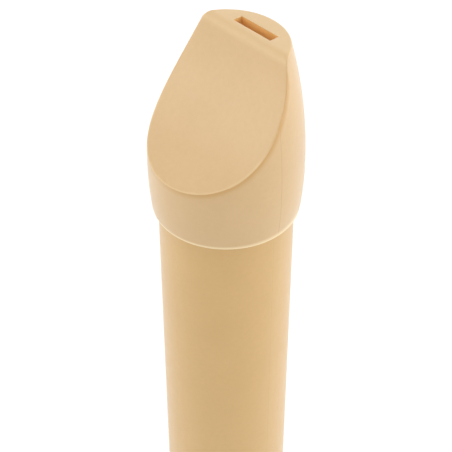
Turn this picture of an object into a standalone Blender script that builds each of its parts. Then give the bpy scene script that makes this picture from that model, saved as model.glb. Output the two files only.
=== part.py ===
"""Descant recorder moulded in cream plastic, in three joints, standing upright on its foot.

The axis of the bore is +Z and the beak is at the top. The origin is the centre of the foot's end face.
The back, with the beak's cut and the thumb hole, faces +Y. The front, with the window and the finger holes,
faces -Y. The head pulls up off the middle joint's upper tenon, the middle joint pulls up out of the foot,
and both turn.
"""

import math

import bmesh
import bpy
from mathutils import Vector

MM = 0.001

# Clearances between pieces
SEAT_GAP = 0.3 * MM
TENON_END_GAP = 0.6 * MM

# Visible lengths of the joints along the axis
FOOT_LENGTH = 70.0 * MM
MIDDLE_LENGTH = 136.0 * MM
HEAD_LENGTH = 88.0 * MM
CAP_HEIGHT = 34.65 * MM

# Outer radii
TUBE_RADIUS = 12.7 * MM
LIP_OVERHANG = 1.05 * MM
CAP_SWELL = 0.58 * MM
CAP_TOP_INSET = 1.65 * MM
MIDDLE_TOP_INSET = 1.2 * MM
MIDDLE_TAPER = 1.1 * MM
FOOT_RIM_INSET = 0.4 * MM
FOOT_WAIST_DEPTH = 1.9 * MM
FOOT_WAIST_SKEW = 0.8
FOOT_END_SWELL = 0.5 * MM

# Bore radii
HEAD_BORE = 6.9 * MM
MIDDLE_BORE_TOP = 6.4 * MM
MIDDLE_BORE_END = 5.2 * MM
FOOT_BORE_TOP = 5.1 * MM
FOOT_BORE_END = 5.4 * MM

# Cap
CAP_WIDEST_HEIGHT = 9.5 * MM
CAP_CURVE_POWER = 2.1
CAP_TOP_ROUNDING = 0.3 * MM
SCOOP_RADIUS = 32.3 * MM
SCOOP_TOP_EDGE = -4.15 * MM
SCOOP_HEEL_HEIGHT = 11.75 * MM
SCOOP_ROUNDING = 1.8 * MM
SPIGOT_HEIGHT = 9.3 * MM
SPIGOT_INSET = 1.9 * MM
BLOCK_HEAD_HEIGHT = 13.2 * MM

# Windway, window and labium
WINDWAY_WIDTH = 9.1 * MM
WINDWAY_ROOF_DEPTH = 0.95 * MM
WINDWAY_ROOF_DROP = 0.2 * MM
WINDWAY_TOP_HEIGHT = 1.9 * MM
WINDWAY_END_HEIGHT = 1.2 * MM
WINDOW_DROP = 9.5 * MM
WINDOW_CUT_UP = 4.4 * MM
LABIUM_EDGE_DEPTH = 0.25 * MM
LABIUM_EDGE_THICKNESS = 0.12 * MM
LABIUM_RAMP_LENGTH = 16.5 * MM
UNDERCUT_LENGTH = 8.0 * MM
UNDERCUT_RUNOUT = 4.0 * MM
CHANNEL_DEPTH_START = 3.0 * MM

# Tenons, sockets and cork rings
UPPER_TENON_LENGTH = 20.0 * MM
LOWER_TENON_LENGTH = 17.0 * MM
TENON_WALL = 1.6 * MM
CORK_GROOVE_DEPTH = 0.9 * MM
CORK_PROUD = 0.4 * MM
CORK_ROUNDING = 0.33 * MM
CORK_SHARE = 0.58
CORK_FROM_END = 4.0 * MM

# Finger holes: radii, and places along the middle joint as shares of its visible length
FINGER_HOLES = (
    (0.19, 2.6 * MM),
    (0.33, 2.85 * MM),
    (0.48, 2.8 * MM),
    (0.655, 2.8 * MM),
    (0.79, 2.75 * MM),
)
DOUBLE_HOLE_STATION = 0.93
THUMB_HOLE_STATION = 0.14
THUMB_HOLE_RADIUS = 2.7 * MM
DOUBLE_HOLE_RADII = (1.75 * MM, 1.45 * MM)
DOUBLE_HOLE_WEB = 1.1 * MM
FOOT_HOLE_BELOW_SOCKET = 8.0 * MM

# Edges and facets
EDGE = 0.5 * MM
EDGE_SIDE = 1.5 * MM
TURN_STEPS = 48
BLOCK_STEPS = 24
HOLE_SIDES = 24
DRILL_START = 0.2
TOP_LIFT = 0.02 * MM
CUT_MARGIN = 4.0 * MM
AXIS_MERGE = 0.00001
POINT_MERGE = 0.000001
SHARP_ANGLE = math.radians(32)

# Radii and heights that follow from the sizes above
CAP_RIM_RADIUS = TUBE_RADIUS + LIP_OVERHANG
CAP_WIDEST_RADIUS = CAP_RIM_RADIUS + CAP_SWELL
CAP_TOP_RADIUS = TUBE_RADIUS - CAP_TOP_INSET
SPIGOT_RADIUS = TUBE_RADIUS - SPIGOT_INSET
MIDDLE_TOP_RADIUS = TUBE_RADIUS - MIDDLE_TOP_INSET
MIDDLE_END_RADIUS = MIDDLE_TOP_RADIUS - MIDDLE_TAPER
FOOT_RIM_RADIUS = TUBE_RADIUS - FOOT_RIM_INSET
FOOT_END_RADIUS = FOOT_RIM_RADIUS + FOOT_END_SWELL
LOWER_SEAT = FOOT_LENGTH + SEAT_GAP
UPPER_SEAT = MIDDLE_LENGTH + SEAT_GAP
LIP_PLANE = HEAD_LENGTH + SEAT_GAP
ROOF_TOP = HEAD_BORE + WINDWAY_ROOF_DEPTH
ROOF_END = ROOF_TOP - WINDWAY_ROOF_DROP
FLOOR_TOP = ROOF_TOP - WINDWAY_TOP_HEIGHT
FLOOR_END = ROOF_END - WINDWAY_END_HEIGHT
LABIUM_EDGE = HEAD_BORE + LABIUM_EDGE_DEPTH
BLOCK_RADIUS = HEAD_BORE - SEAT_GAP

CREAM = (0.745, 0.515, 0.290)
CREAM_INNER = (0.700, 0.480, 0.265)
CORK_BROWN = (0.420, 0.235, 0.110)
PLASTIC_ROUGHNESS = 0.42
CORK_ROUGHNESS = 0.8


def clear_scene():
    for old in list(bpy.data.objects):
        bpy.data.objects.remove(old, do_unlink=True)


def new_collection(name):
    made = bpy.data.collections.new(name)
    bpy.context.scene.collection.children.link(made)
    return made


def plain_finish(name, colour, roughness):
    """A plain material, with its colour, roughness and no metal."""
    made = bpy.data.materials.new(name)
    made.use_nodes = True
    shader = made.node_tree.nodes["Principled BSDF"]
    shader.inputs["Base Color"].default_value = (*colour, 1.0)
    shader.inputs["Roughness"].default_value = roughness
    shader.inputs["Metallic"].default_value = 0.0
    made.diffuse_color = (*colour, 1.0)
    return made


def rounded(corner, before, after, radius, steps=3):
    """Points of an arc that rounds a corner of a profile, which comes from before and goes on to after."""
    corner, before, after = Vector(corner), Vector(before), Vector(after)
    to_before = (before - corner).normalized()
    to_after = (after - corner).normalized()
    half = to_before.angle(to_after) / 2
    middle = corner + (to_before + to_after).normalized() * (radius / math.sin(half))
    start = corner + to_before * (radius / math.tan(half)) - middle
    end = corner + to_after * (radius / math.tan(half)) - middle
    sweep = start.angle_signed(end)
    points = []
    for i in range(steps + 1):
        turn = -sweep * i / steps
        x = start.x * math.cos(turn) - start.y * math.sin(turn)
        y = start.x * math.sin(turn) + start.y * math.cos(turn)
        points.append((middle.x + x, middle.y + y))
    return points


def turned(name, profile, closed=True, steps=TURN_STEPS):
    """A turned shape about +Z. Its (radius, height) points run down the outer side and up the inner one."""
    mesh = bpy.data.meshes.new(name)
    edges = [(i, i + 1) for i in range(len(profile) - 1)]
    if closed:
        edges.append((len(profile) - 1, 0))
    mesh.from_pydata([(radius, 0, height) for radius, height in profile], edges, [])
    made = bpy.data.objects.new(name, mesh)
    screw = made.modifiers.new("turn", "SCREW")
    screw.steps = steps
    screw.render_steps = steps
    screw.use_merge_vertices = True
    screw.merge_threshold = AXIS_MERGE
    return made


def flat_prism(name, outline, width):
    """A flat outline of (y, z) points, extruded along X to this width on both sides of the axis."""
    curve = bpy.data.curves.new(name, "CURVE")
    curve.dimensions = "2D"
    curve.fill_mode = "BOTH"
    curve.extrude = width / 2
    line = curve.splines.new("POLY")
    line.points.add(len(outline) - 1)
    for point, (y, z) in zip(line.points, outline):
        point.co = (y, z, 0, 1)
    line.use_cyclic_u = True
    drawn = bpy.data.objects.new(name + "_outline", curve)
    bpy.context.scene.collection.objects.link(drawn)
    graph = bpy.context.evaluated_depsgraph_get()
    mesh = bpy.data.meshes.new_from_object(drawn.evaluated_get(graph))
    bpy.data.objects.remove(drawn, do_unlink=True)
    work = bmesh.new()
    work.from_mesh(mesh)
    bmesh.ops.remove_doubles(work, verts=work.verts, dist=POINT_MERGE)
    for vert in work.verts:
        vert.co = Vector((vert.co.z, vert.co.x, vert.co.y))
    bmesh.ops.recalc_face_normals(work, faces=work.faces)
    work.to_mesh(mesh)
    work.free()
    return bpy.data.objects.new(name, mesh)


def hole_drill(name, place, radius, surface, back=False):
    """A round drill for a hole through one wall, at place (x, z). surface is the outer radius there."""
    near = DRILL_START * surface
    far = surface + CUT_MARGIN
    mesh = bpy.data.meshes.new(name)
    work = bmesh.new()
    bmesh.ops.create_cone(
        work,
        cap_ends=True,
        segments=HOLE_SIDES,
        radius1=radius,
        radius2=radius,
        depth=far - near,
    )
    work.to_mesh(mesh)
    work.free()
    made = bpy.data.objects.new(name, mesh)
    made.rotation_euler = (math.pi / 2, 0, 0)
    side = 1 if back else -1
    made.location = (place[0], side * (near + far) / 2, place[1])
    return made


def add_cut(piece, cutter, cutters, operation="DIFFERENCE"):
    cutters.objects.link(cutter)
    cutter.parent = piece
    cutter.hide_render = True
    cutter.display_type = "WIRE"
    cut = piece.modifiers.new(cutter.name, "BOOLEAN")
    cut.operation = operation
    cut.object = cutter
    cut.solver = "EXACT"


def cap_radius(height):
    """Outer radius of the cap at a height above its lip: widest just above the lip, drawn in to the top."""
    if height < CAP_WIDEST_HEIGHT:
        share = 1 - height / CAP_WIDEST_HEIGHT
        return CAP_WIDEST_RADIUS - CAP_SWELL * share**2
    share = (height - CAP_WIDEST_HEIGHT) / (CAP_HEIGHT - CAP_WIDEST_HEIGHT)
    drop = CAP_WIDEST_RADIUS - CAP_TOP_RADIUS
    return CAP_WIDEST_RADIUS - drop * share**CAP_CURVE_POWER


def cap_profile(rings=12):
    """The cap's turned profile: top edge, swelling side, lip, the spigot's socket and the block's seat."""
    below_top = CAP_HEIGHT - CAP_TOP_ROUNDING
    top = (CAP_TOP_RADIUS, CAP_HEIGHT)
    profile = [(0, CAP_HEIGHT)]
    side = (cap_radius(below_top), below_top)
    profile += rounded(top, (0, CAP_HEIGHT), side, CAP_TOP_ROUNDING)
    for i in range(1, rings + 1):
        height = below_top * (1 - i / rings)
        profile.append((cap_radius(height), height))
    socket = SPIGOT_RADIUS + SEAT_GAP
    ceiling = SPIGOT_HEIGHT + SEAT_GAP
    pocket = BLOCK_HEAD_HEIGHT + SEAT_GAP
    profile += [(socket, 0), (socket, ceiling), (HEAD_BORE, ceiling)]
    profile += [(HEAD_BORE, pocket), (0, pocket)]
    return profile


def scoop_centre():
    """Centre of the cut's arc, which passes through the top edge and through the heel at the cap's back."""
    top = Vector((SCOOP_TOP_EDGE, CAP_HEIGHT))
    heel = Vector((CAP_WIDEST_RADIUS, SCOOP_HEEL_HEIGHT))
    half = (heel - top) / 2
    outward = Vector((-half.y, half.x)).normalized()
    return top + half + outward * math.sqrt(SCOOP_RADIUS**2 - half.length**2)


def scoop_outline(steps=14, rounding_steps=4):
    """Side outline of what the hollow cut takes off the cap's back, with its rounded edge at the flat top.

    The rounding is an arc that touches the flat top and the cut from inside the plastic. Its first point is
    lifted a little, so that the outline crosses the flat top and doesn't only touch it."""
    centre = scoop_centre()
    round_height = CAP_HEIGHT - SCOOP_ROUNDING
    reach = SCOOP_RADIUS + SCOOP_ROUNDING
    round_y = centre.x - math.sqrt(reach**2 - (centre.y - round_height) ** 2)
    rounding = Vector((round_y, round_height))
    towards = (centre - rounding).normalized()
    last = math.atan2(towards.y, towards.x)
    points = [(round_y, CAP_HEIGHT + CUT_MARGIN)]
    for i in range(rounding_steps + 1):
        angle = math.pi / 2 + (last - math.pi / 2) * i / rounding_steps
        lift = TOP_LIFT if i == 0 else 0
        y = round_y + SCOOP_ROUNDING * math.cos(angle)
        z = round_height + SCOOP_ROUNDING * math.sin(angle)
        points.append((y, z + lift))
    first = math.atan2(rounding.y - centre.y, rounding.x - centre.x) % (2 * math.pi)
    out_y = CAP_WIDEST_RADIUS + CUT_MARGIN
    end = 2 * math.pi - math.acos((out_y - centre.x) / SCOOP_RADIUS)
    for i in range(1, steps + 1):
        angle = first + (end - first) * i / steps
        y = centre.x + SCOOP_RADIUS * math.cos(angle)
        z = centre.y + SCOOP_RADIUS * math.sin(angle)
        points.append((y, z))
    points.append((out_y, CAP_HEIGHT + CUT_MARGIN))
    return points


def make_cap(cutters):
    cap = turned("mouthpiece_cap", cap_profile(), closed=False)
    width = 2 * CAP_WIDEST_RADIUS + 2 * CUT_MARGIN
    add_cut(cap, flat_prism("beak_scoop", scoop_outline(), width), cutters)
    pocket = BLOCK_HEAD_HEIGHT + SEAT_GAP
    slot = [
        (-ROOF_TOP, CAP_HEIGHT + CUT_MARGIN),
        (-ROOF_TOP, SPIGOT_HEIGHT),
        (-CHANNEL_DEPTH_START, SPIGOT_HEIGHT),
        (-CHANNEL_DEPTH_START, pocket),
        (-FLOOR_TOP, pocket),
        (-FLOOR_TOP, CAP_HEIGHT + CUT_MARGIN),
    ]
    add_cut(cap, flat_prism("windway_slot", slot, WINDWAY_WIDTH), cutters)
    return cap


def make_block(cutters):
    """The fipple plug: a round plug with a raised land, whose flat face is the windway's floor."""
    foot = HEAD_LENGTH - WINDOW_DROP
    head = LIP_PLANE + BLOCK_HEAD_HEIGHT
    profile = [(0, head)]
    profile += [(BLOCK_RADIUS, head), (BLOCK_RADIUS, foot), (0, foot)]
    block = turned("block", profile, closed=False, steps=BLOCK_STEPS)
    land = [
        (-FLOOR_TOP, head),
        (-FLOOR_END, foot),
        (-CHANNEL_DEPTH_START - SEAT_GAP, foot),
        (-CHANNEL_DEPTH_START - SEAT_GAP, head),
    ]
    width = WINDWAY_WIDTH - 2 * SEAT_GAP
    add_cut(block, flat_prism("windway_floor", land, width), cutters, "UNION")
    return block


def voicing_outline():
    """Side outline of everything cut out of the head's front wall, on one width.

    It runs down the windway's roof, out through the window's upper face, in along the labium's ramp to its
    edge, and under the labium back into the bore."""
    window_top = HEAD_LENGTH - WINDOW_DROP
    edge = window_top - WINDOW_CUT_UP
    outside = TUBE_RADIUS + CUT_MARGIN
    slope = LABIUM_RAMP_LENGTH / (TUBE_RADIUS - LABIUM_EDGE)
    ramp_foot = edge - slope * (outside - LABIUM_EDGE)
    under = LABIUM_EDGE - LABIUM_EDGE_THICKNESS
    above = HEAD_LENGTH + SPIGOT_HEIGHT + CUT_MARGIN
    runout = edge - UNDERCUT_LENGTH
    return [
        (-CHANNEL_DEPTH_START, above),
        (-ROOF_TOP, above),
        (-ROOF_TOP, HEAD_LENGTH + SPIGOT_HEIGHT),
        (-ROOF_END, window_top),
        (-outside, window_top),
        (-outside, ramp_foot),
        (-LABIUM_EDGE, edge),
        (-under, edge),
        (-under, runout),
        (-CHANNEL_DEPTH_START, runout - UNDERCUT_RUNOUT),
    ]


def make_head(cutters):
    """The head tube, with its socket, its shoulder under the cap's lip and its spigot inside the cap."""
    top = HEAD_LENGTH + SPIGOT_HEIGHT
    socket = tenon_radius(MIDDLE_BORE_TOP) + CORK_PROUD + SEAT_GAP
    socket_floor = UPPER_TENON_LENGTH + TENON_END_GAP
    rim = rounded((TUBE_RADIUS, 0), (TUBE_RADIUS, top), (0, 0), EDGE)
    profile = [
        (HEAD_BORE, top),
        (SPIGOT_RADIUS - EDGE, top),
        (SPIGOT_RADIUS, top - EDGE),
        (SPIGOT_RADIUS, HEAD_LENGTH),
        (TUBE_RADIUS, HEAD_LENGTH),
        *rim,
        (socket + EDGE, 0),
        (socket, EDGE),
        (socket, socket_floor),
        (HEAD_BORE, socket_floor),
    ]
    head = turned("head_tube", profile)
    add_cut(head, flat_prism("voicing", voicing_outline(), WINDWAY_WIDTH), cutters)
    return head


def tenon_radius(bore):
    """Radius of a tenon's collars round a bore. The groove for the cork leaves TENON_WALL under it."""
    return bore + TENON_WALL + CORK_GROOVE_DEPTH


def groove_span(length):
    """Where a tenon's cork groove starts and ends, measured from the tenon's free end."""
    return CORK_FROM_END, CORK_FROM_END + CORK_SHARE * length


def make_middle(cutters):
    """The middle joint, with its lower shoulder at height 0 and a grooved tenon at each end."""
    upper, lower = tenon_radius(MIDDLE_BORE_TOP), tenon_radius(MIDDLE_BORE_END)
    top = MIDDLE_LENGTH + SEAT_GAP + UPPER_TENON_LENGTH
    end = -SEAT_GAP - LOWER_TENON_LENGTH
    upper_groove = [top - part for part in groove_span(UPPER_TENON_LENGTH)]
    lower_groove = [end + part for part in groove_span(LOWER_TENON_LENGTH)]
    shoulder, heel = (MIDDLE_TOP_RADIUS, MIDDLE_LENGTH), (MIDDLE_END_RADIUS, 0)
    profile = [
        (MIDDLE_BORE_TOP, top),
        (upper - EDGE, top),
        (upper, top - EDGE),
        (upper, upper_groove[0]),
        (upper - CORK_GROOVE_DEPTH, upper_groove[0]),
        (upper - CORK_GROOVE_DEPTH, upper_groove[1]),
        (upper, upper_groove[1]),
        (upper, MIDDLE_LENGTH),
        *rounded(shoulder, (upper, MIDDLE_LENGTH), heel, EDGE),
        *rounded(heel, shoulder, (lower, 0), EDGE),
        (lower, 0),
        (lower, lower_groove[1]),
        (lower - CORK_GROOVE_DEPTH, lower_groove[1]),
        (lower - CORK_GROOVE_DEPTH, lower_groove[0]),
        (lower, lower_groove[0]),
        (lower, end + EDGE),
        (lower - EDGE, end),
        (MIDDLE_BORE_END, end),
    ]
    middle = turned("middle_joint", profile)
    for number, (station, radius) in enumerate(FINGER_HOLES, 1):
        place = (0, MIDDLE_LENGTH * (1 - station))
        surface = middle_radius(place[1])
        add_cut(middle, hole_drill(f"hole_{number}", place, radius, surface), cutters)
    height = MIDDLE_LENGTH * (1 - DOUBLE_HOLE_STATION)
    drill_pair(middle, "hole_6", height, middle_radius(height), cutters)
    height = MIDDLE_LENGTH * (1 - THUMB_HOLE_STATION)
    surface = middle_radius(height)
    thumb = hole_drill("thumb_hole", (0, height), THUMB_HOLE_RADIUS, surface, back=True)
    add_cut(middle, thumb, cutters)
    return middle


def middle_radius(height):
    """Outer radius of the middle joint at a height above its lower shoulder."""
    return MIDDLE_END_RADIUS + MIDDLE_TAPER * height / MIDDLE_LENGTH


def drill_pair(piece, name, height, surface, cutters):
    """Two small holes side by side in front, the larger one on the -X side."""
    spread = sum(DOUBLE_HOLE_RADII) + DOUBLE_HOLE_WEB
    for side, radius in zip((-1, 1), DOUBLE_HOLE_RADII):
        x = side * spread / 2
        label = name + ("_left" if side < 0 else "_right")
        add_cut(piece, hole_drill(label, (x, height), radius, surface), cutters)


def foot_radius(height):
    """Outer radius of the foot: straight round the socket, drawn in to a waist, then out to the end."""
    socket_floor = FOOT_LENGTH - LOWER_TENON_LENGTH - TENON_END_GAP
    share = height / socket_floor
    if share >= 1:
        return FOOT_RIM_RADIUS
    level = FOOT_END_RADIUS + (FOOT_RIM_RADIUS - FOOT_END_RADIUS) * share
    return level - FOOT_WAIST_DEPTH * math.sin(math.pi * share**FOOT_WAIST_SKEW) ** 2


def make_foot(cutters, rings=10):
    """The foot joint, with its socket at the top, standing on its flat end face."""
    socket = tenon_radius(MIDDLE_BORE_END) + CORK_PROUD + SEAT_GAP
    socket_floor = FOOT_LENGTH - LOWER_TENON_LENGTH - TENON_END_GAP
    rim, end = (FOOT_RIM_RADIUS, FOOT_LENGTH), (FOOT_END_RADIUS, 0)
    profile = [
        (socket + EDGE, FOOT_LENGTH),
        *rounded(rim, (socket, FOOT_LENGTH), (FOOT_RIM_RADIUS, 0), EDGE),
    ]
    for i in range(rings):
        height = socket_floor * (1 - i / rings)
        profile.append((foot_radius(height), height))
    profile += rounded(end, (foot_radius(EDGE_SIDE), EDGE_SIDE), (0, 0), EDGE)
    profile += [
        (FOOT_BORE_END + EDGE, 0),
        (FOOT_BORE_END, EDGE),
        (FOOT_BORE_TOP, socket_floor),
        (socket, socket_floor),
        (socket, FOOT_LENGTH - EDGE),
    ]
    foot = turned("foot_joint", profile)
    height = socket_floor - FOOT_HOLE_BELOW_SOCKET
    drill_pair(foot, "hole_7", height, foot_radius(height), cutters)
    return foot


def make_cork(name, bore, length, free_end, up):
    """A cork ring in a tenon's groove. up is the way from the tenon's free end to its shoulder."""
    start, stop = groove_span(length)
    low = min(free_end + up * start, free_end + up * stop) + SEAT_GAP
    high = max(free_end + up * start, free_end + up * stop) - SEAT_GAP
    inner = tenon_radius(bore) - CORK_GROOVE_DEPTH + SEAT_GAP
    outer = tenon_radius(bore) + CORK_PROUD
    profile = [
        (inner, high),
        *rounded((outer, high), (inner, high), (outer, low), CORK_ROUNDING, 2),
        *rounded((outer, low), (outer, high), (inner, low), CORK_ROUNDING, 2),
        (inner, low),
    ]
    return turned(name, profile)


def seat(name, height, parent, collection):
    """An empty on the axis, where one joint sits on the next."""
    made = bpy.data.objects.new(name, None)
    made.empty_display_size = TUBE_RADIUS
    made.location = (0, 0, height)
    made.parent = parent
    collection.objects.link(made)
    return made


def add_piece(piece, collection, parent, colour, roughness=PLASTIC_ROUGHNESS, height=0.0):
    piece.parent = parent
    piece.location = (0, 0, height)
    piece.data.materials.append(plain_finish(piece.name + "_finish", colour, roughness))
    collection.objects.link(piece)


def shade(piece):
    """Bakes the modifiers into the mesh, so that its round faces shade smooth between sharp edges."""
    graph = bpy.context.evaluated_depsgraph_get()
    mesh = bpy.data.meshes.new_from_object(piece.evaluated_get(graph))
    piece.modifiers.clear()
    piece.data = mesh
    mesh.shade_smooth()
    mesh.set_sharp_from_angle(angle=SHARP_ANGLE)


def main():
    clear_scene()
    recorder = new_collection("recorder")
    cutters = new_collection("cutters")

    foot = make_foot(cutters)
    add_piece(foot, recorder, None, CREAM)
    lower_seat = seat("lower_seat", LOWER_SEAT, foot, recorder)
    middle = make_middle(cutters)
    add_piece(middle, recorder, lower_seat, CREAM)
    free_end = -SEAT_GAP - LOWER_TENON_LENGTH
    lower_cork = make_cork("lower_tenon_cork", MIDDLE_BORE_END, LOWER_TENON_LENGTH, free_end, 1)
    add_piece(lower_cork, recorder, lower_seat, CORK_BROWN, CORK_ROUGHNESS)

    upper_seat = seat("upper_seat", UPPER_SEAT, middle, recorder)
    free_end = UPPER_TENON_LENGTH
    upper_cork = make_cork("upper_tenon_cork", MIDDLE_BORE_TOP, UPPER_TENON_LENGTH, free_end, -1)
    add_piece(upper_cork, recorder, upper_seat, CORK_BROWN, CORK_ROUGHNESS)
    head = make_head(cutters)
    add_piece(head, recorder, upper_seat, CREAM)
    block = make_block(cutters)
    add_piece(block, recorder, head, CREAM_INNER)
    cap = make_cap(cutters)
    add_piece(cap, recorder, head, CREAM, height=LIP_PLANE)

    bpy.context.view_layer.update()
    for piece in (foot, middle, lower_cork, upper_cork, head, block, cap):
        shade(piece)


main()
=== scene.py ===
"""Looks of a descant recorder moulded in satin cream plastic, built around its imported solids.

Each solid is replaced by a finer mesh of the same size in the same place. The axis of the bore is +Z, the
beak's cut faces +Y and the window faces -Y. Sizes are in millimetres until a mesh is made.
"""

import math
from collections import namedtuple

import bmesh
import bpy
from mathutils import Matrix, Vector


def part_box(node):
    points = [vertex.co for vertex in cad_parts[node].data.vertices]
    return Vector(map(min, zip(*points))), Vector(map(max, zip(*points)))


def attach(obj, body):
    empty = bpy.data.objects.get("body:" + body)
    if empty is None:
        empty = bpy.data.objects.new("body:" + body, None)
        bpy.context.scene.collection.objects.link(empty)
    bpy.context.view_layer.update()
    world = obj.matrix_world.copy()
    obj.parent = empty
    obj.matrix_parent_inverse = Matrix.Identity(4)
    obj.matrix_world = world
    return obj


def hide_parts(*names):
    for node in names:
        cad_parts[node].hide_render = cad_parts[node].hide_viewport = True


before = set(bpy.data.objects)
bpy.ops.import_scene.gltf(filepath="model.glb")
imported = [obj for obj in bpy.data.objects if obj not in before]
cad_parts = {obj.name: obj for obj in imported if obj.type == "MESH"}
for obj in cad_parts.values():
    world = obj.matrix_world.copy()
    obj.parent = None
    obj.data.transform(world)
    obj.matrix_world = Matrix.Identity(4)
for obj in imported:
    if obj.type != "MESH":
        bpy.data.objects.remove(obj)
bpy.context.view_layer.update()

MM = 0.001


def heights_of(node):
    """Lowest and highest height of a CAD node, in millimetres."""
    low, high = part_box(node)
    return low.z / MM, high.z / MM


# Heights that the frame gives
LIP, CAP_TOP = heights_of("mouthpiece_cap")
HEAD_RIM, SPIGOT_TOP = heights_of("head_tube")
BLOCK_FOOT, BLOCK_TOP = heights_of("block")
MIDDLE_END, MIDDLE_TOP = heights_of("middle_joint")
FOOT_TOP = heights_of("foot_joint")[1]
UPPER_CORK = heights_of("upper_tenon_cork")
LOWER_CORK = heights_of("lower_tenon_cork")

# Clearances: the one that the solids keep, and the hairline that shows where two mouldings meet
SOLID_GAP = 0.3
HAIRLINE = 0.05

# Cap: sizes, and the degrees from the front over which its edge's rounding changes to that of the cut
CAP_HEIGHT = CAP_TOP - LIP
RIM_RADIUS = 13.75
CAP_SWELL = 0.58
CAP_WIDEST_HEIGHT = 9.5
CAP_WIDEST_RADIUS = RIM_RADIUS + CAP_SWELL
CAP_TOP_RADIUS = 11.05
CAP_CURVE_POWER = 2.1
LIP_ROUNDING = 0.35
TOP_EDGE_ROUNDING = 0.3
CUT_EDGE_ROUNDING = 0.18
ROUNDING_FADE = (58, 78)
CUT_RADIUS = 32.3
CUT_TOP_Y = -4.15
CUT_HEEL_HEIGHT = 11.75
CUT_ROUNDING = 1.8
SPIGOT_POCKET_RADIUS = 11.1
SPIGOT_POCKET_DEPTH = 9.6
BLOCK_POCKET_DEPTH = 13.5

# Painted light on the cap's plastic, from 1 for the palest painted highlight to -1 for the deepest painted
# shade. First how much of the lip's rounding gets the painted highlight, then the flat top's painted light,
# and the cut's edge below and above the heights of its fade: painted highlight low down, painted shade high
# up.
LIP_HIGHLIGHT_SHARE = 0.9
FLAT_TOP_PAINTED_LIGHT = 0.1
LOW_EDGE_HIGHLIGHT = 0.22
HIGH_EDGE_SHADE = -0.45
EDGE_FADE = (18, 24)

# The painted shade band on the cap's side, just under the cut's edge: its depth, the length over which it
# starts, its strength at the back and at the side that the photo shows, and the steepness of its fade
RIM_SHADE_DEPTH = 1.15
RIM_SHADE_START = 0.25
RIM_SHADE_BACK = 0.55
RIM_SHADE_SIDE = 1.05
RIM_SHADE_EASE = 1.3

# Windway, window and labium
WINDWAY_HALF = 4.55
ROOF_TOP = 7.85
ROOF_END = 7.65
FLOOR_TOP = 5.95
FLOOR_END = 6.45
CHANNEL_START = 3.0
SLOT_EDGE = 0.1
WINDOW_TOP = BLOCK_FOOT
WINDOW_CUT_UP = 4.4
LABIUM_EDGE = 7.15
LABIUM_THICKNESS = 0.12
LABIUM_RAMP = 16.5
UNDERCUT_LENGTH = 8.0
UNDERCUT_RUNOUT = 4.0

# Head tube
TUBE_RADIUS = 12.7
HEAD_BORE = 6.9
SPIGOT_RADIUS = 10.8
HEAD_SOCKET_RADIUS = 9.6
HEAD_SOCKET_FLOOR = 227.2
HEAD_SHOULDER = LIP - HAIRLINE
LAND_HALF = WINDWAY_HALF - SOLID_GAP
LAND_START = 3.3

# Middle joint
UPPER_SHOULDER = HEAD_RIM - SOLID_GAP
LOWER_SHOULDER = FOOT_TOP + SOLID_GAP
MIDDLE_TOP_RADIUS = 11.5
MIDDLE_END_RADIUS = 10.4
MIDDLE_BORE_TOP = 6.4
MIDDLE_BORE_END = 5.2
UPPER_COLLAR = 8.9
LOWER_COLLAR = 7.7
GROOVE_DEPTH = 0.9

# Foot joint
FOOT_RIM_RADIUS = 12.3
FOOT_END_RADIUS = 12.8
FOOT_WAIST = 1.9
FOOT_WAIST_SKEW = 0.8
FOOT_SOCKET_RADIUS = 8.4
FOOT_SOCKET_FLOOR = 52.4
FOOT_BORE_TOP = 5.1
FOOT_BORE_END = 5.4

# Cork rings
CORK_PROUD = 0.4
CORK_ROUNDING = 0.35

# Meshing: the usual rounding, steps round a corner, columns round a turned shape, how far a cutting tool
# reaches past the piece and into another cut, and the distances and angles that count as none
EDGE = 0.5
ARC_STEPS = 5
WALL_COLUMNS = 128
HEAD_COLUMNS = 192
BLOCK_COLUMNS = 96
CUTTER_PAST = 5
CUTTER_OVERLAP = 1
WELD = 0.0005
SLIVER = 0.0001
NEAR = 0.01
SAME_LINE = 0.001
SAME_ANGLE = 0.00001
SHARP_ANGLE = math.radians(32)

# Parting lines of the mould, along both sides of every moulding
SEAM_HALF_WIDTH = 0.08
SEAM_DEPTH = 0.03
FAINT_SEAM_DEPTH = 0.02
SEAM_STEPS = (-2, -1, 1, 2)
SEAM_LEAST_RADIUS = 10
SEAM_LEAST_FACING = 0.7

# Finger holes: place along the middle joint as a share of its visible length from the top, and radius.
# A double hole has two radii, each with its place across, and every hole has a rounded edge.
FINGER_HOLES = ((0.19, 2.6), (0.33, 2.85), (0.48, 2.8), (0.655, 2.8), (0.79, 2.75))
THUMB_HOLE = (0.14, 2.7)
DOUBLE_HOLE_STATION = 0.93
DOUBLE_HOLES = ((-2.15, 1.75), (2.15, 1.45))
FOOT_HOLE_HEIGHT = 44.4
HOLE_EDGE = 0.45
SMALL_HOLE_EDGE = 0.3
BORE_EDGE = 0.2

# Mesh round the holes: how many columns to a side and how much height up and down the block of a single
# hole and of a pair take, how far the drilled walls go on, and where the bore's columns change their spread
HOLE_REACH = 8
HOLE_ZONE = 4.5
PAIR_REACH = 10
PAIR_ZONE = 2.9
WALL_MARGIN = 1
THUMB_MARGIN = 2
FOOT_WALL_START = 1.0
SPREAD_INNER = math.radians(360 * PAIR_REACH / WALL_COLUMNS)
SPREAD_OUTER = math.pi - SPREAD_INNER
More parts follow.
